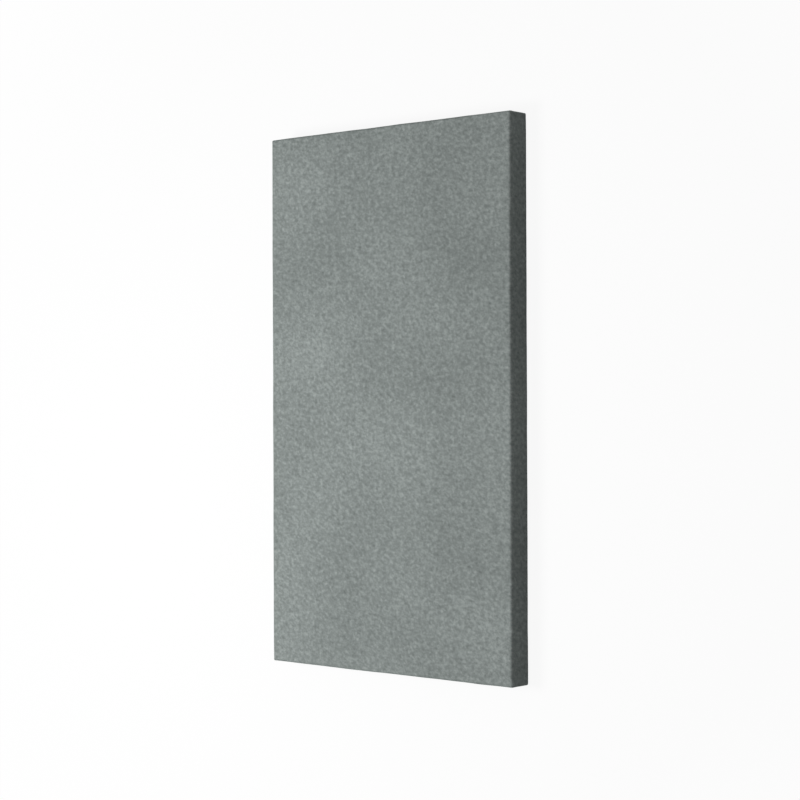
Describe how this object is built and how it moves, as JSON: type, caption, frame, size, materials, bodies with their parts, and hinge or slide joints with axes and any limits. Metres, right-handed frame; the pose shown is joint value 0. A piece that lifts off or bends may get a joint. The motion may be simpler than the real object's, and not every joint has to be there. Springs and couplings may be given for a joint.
{
  "type": "fabric acoustic wall panel",
  "caption": "Flat rectangular sound-absorbing wall panel: a rigid glass-wool board wrapped in grey-green heathered cloth, with the cloth folded over on the back.",
  "frame": {"origin": "middle of the panel's back, on the plane of the folded hems", "axes": "+Z out of the cloth-covered front, +Y along the length, +X across the width; the panel lies on its back"},
  "size_m": [0.61, 1.067, 0.052],
  "materials": {
    "glass_wool": "matt mineral fibre",
    "cloth": "matt heathered weave"
  },
  "bodies": {
    "root": {"core_board": "glass_wool", "fabric_cover": "cloth"}
  },
  "joints": []
}
